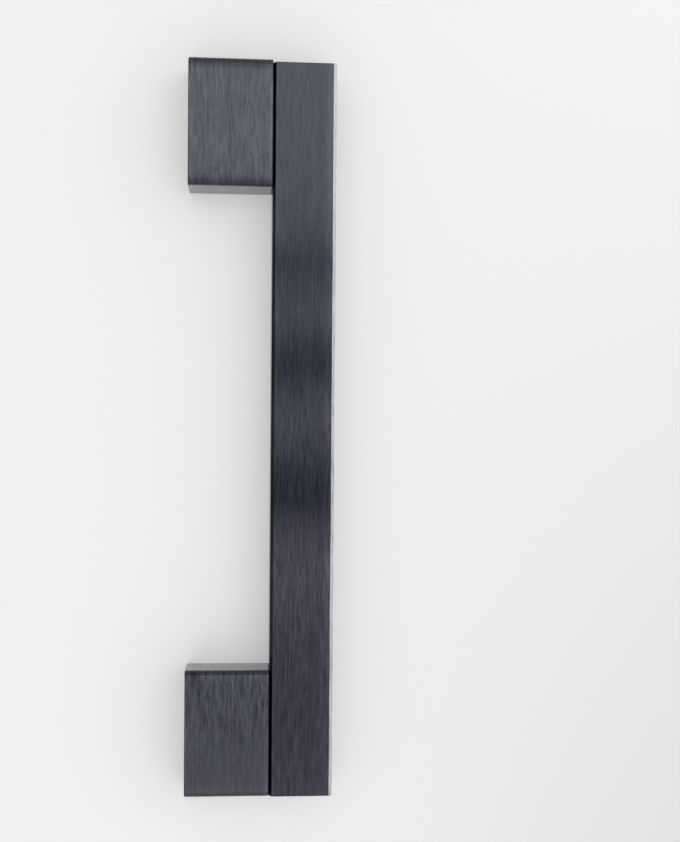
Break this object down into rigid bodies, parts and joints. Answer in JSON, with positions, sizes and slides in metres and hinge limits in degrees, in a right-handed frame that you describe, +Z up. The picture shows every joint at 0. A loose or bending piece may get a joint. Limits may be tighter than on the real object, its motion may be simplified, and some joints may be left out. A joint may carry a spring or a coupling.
{
  "type": "door pull handle",
  "caption": "Straight chamfered grip bar on rounded block feet with threaded fixing holes at the back, in dark brushed metal.",
  "frame": {"origin": "on the door's face, midway between the two fixing holes, at mid-width of the section", "axes": "+X along the bar to the right of somebody facing the door, +Y into the door, +Z up with the handle fitted level"},
  "size_m": [0.232, 0.0465, 0.016],
  "materials": {
    "bar_finish": "brushed along the bar, dark grey anodised",
    "foot_finish": "brushed along the bar, dark grey anodised, slightly lighter",
    "screw_steel": "zinc plated"
  },
  "bodies": {
    "root": {"grip_bar": "bar_finish", "right_foot": "foot_finish", "left_foot": "foot_finish", "right_foot_outer_screw": "screw_steel", "right_foot_inner_screw": "screw_steel", "left_foot_outer_screw": "screw_steel", "left_foot_inner_screw": "screw_steel"}
  },
  "joints": []
}
